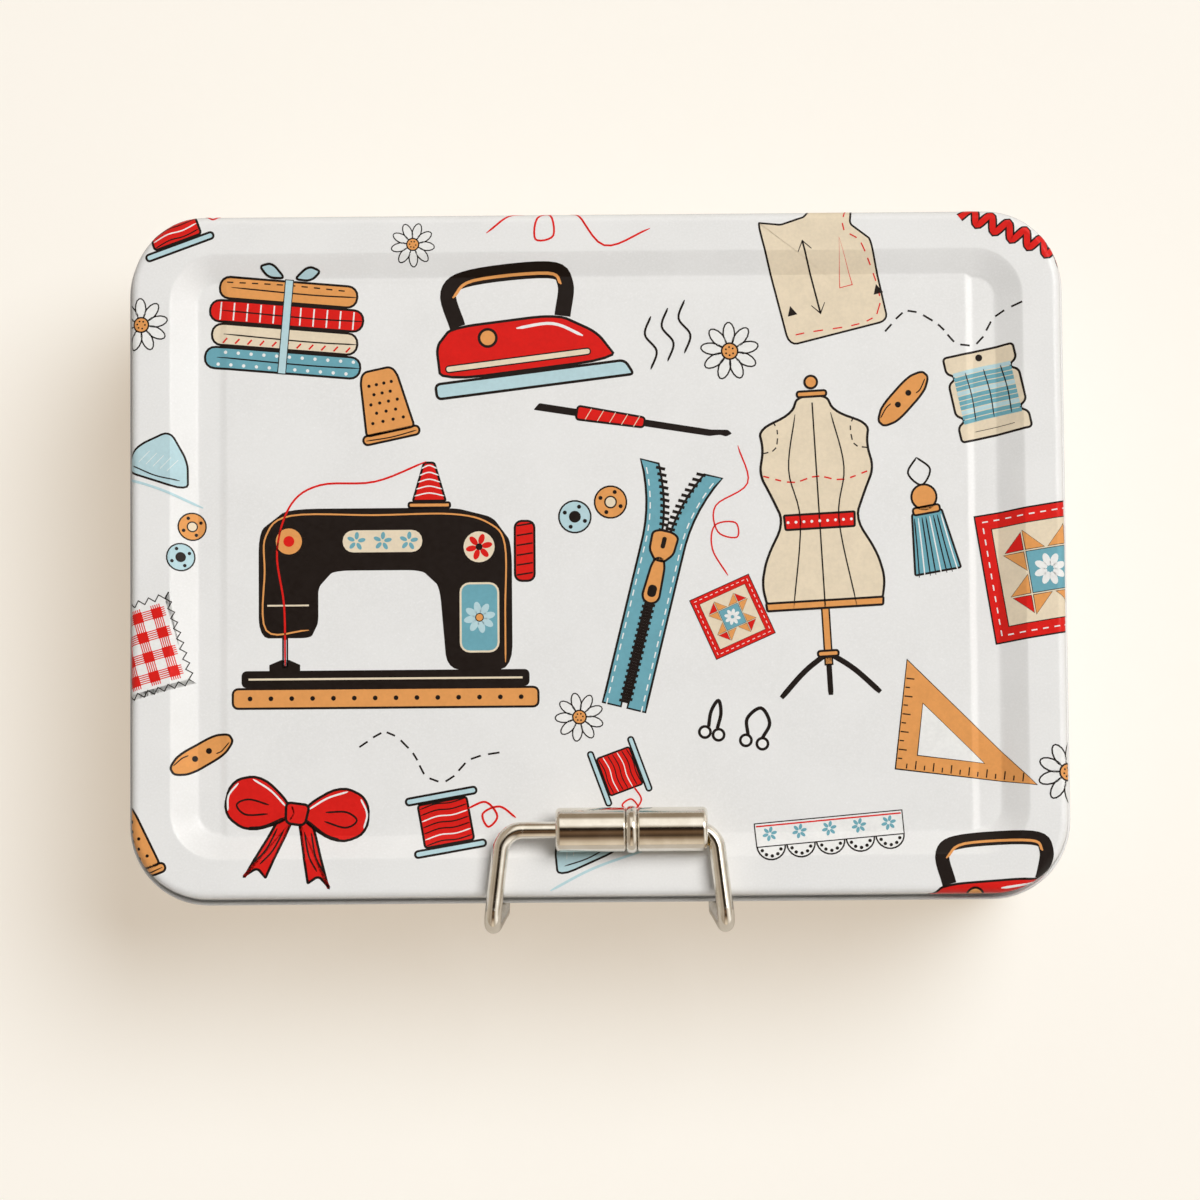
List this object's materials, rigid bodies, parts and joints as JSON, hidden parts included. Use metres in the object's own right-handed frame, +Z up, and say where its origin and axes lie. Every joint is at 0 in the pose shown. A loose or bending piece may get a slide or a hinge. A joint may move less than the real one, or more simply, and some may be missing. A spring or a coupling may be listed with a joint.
{
  "type": "hinged sewing tin",
  "caption": "Rectangular tinplate box with a back-hinged slip-over lid, a recessed lid panel and a swinging wire clasp with a roller.",
  "frame": {"origin": "centre of the base's rest plane", "axes": "+Z up, +X to the right along the long side, -Y towards the clasp"},
  "size_m": [0.1902, 0.1469, 0.0677],
  "materials": {
    "lid_enamel": "satin white coating on tinplate",
    "print_ink": "printed inks under a satin varnish",
    "body_enamel": "satin white coating on tinplate",
    "bare_tinplate": "bright tinplate",
    "nickel": "polished nickel plate",
    "hinge_steel": "zinc-plated steel",
    "bush_brass": "plain"
  },
  "bodies": {
    "body": {"body_wall": "body_enamel", "base_panel": "bare_tinplate", "hinge_leaf_body_left": "hinge_steel", "hinge_leaf_body_right": "hinge_steel", "hinge_pin_left": "hinge_steel", "hinge_pin_right": "hinge_steel"},
    "lid": {"lid_shell": "lid_enamel", "hinge_leaf_lid_left": "hinge_steel", "hinge_leaf_lid_right": "hinge_steel"},
    "clasp": {"clasp_wire": "nickel"},
    "roller_bushes": {"roller_bush_left": "bush_brass", "roller_bush_right": "bush_brass"},
    "roller": {"roller_sleeve_left": "nickel", "roller_sleeve_right": "nickel", "roller_ring": "nickel"}
  },
  "joints": [
    {"name": "lid_hinge", "type": "hinge", "parent": "body", "child": "lid", "pos_m": [0, 0.06935, 0.04865], "axis": [-1, 0, 0], "range_deg": [0, 105]},
    {"name": "clasp_swing", "type": "hinge", "parent": "body", "child": "clasp", "pos_m": [0.0017, -0.0678, 0.047], "axis": [1, 0, 0], "range_deg": [0, 85]},
    {"name": "roller_slide", "type": "slide", "parent": "clasp", "child": "roller_bushes", "axis": [1, 0, 0], "range_m": [-0.009, 0]},
    {"name": "roller_spin", "type": "hinge", "parent": "roller_bushes", "child": "roller", "pos_m": [0.0017, -0.0559, 0.06291], "axis": [1, 0, 0], "continuous": true}
  ]
}
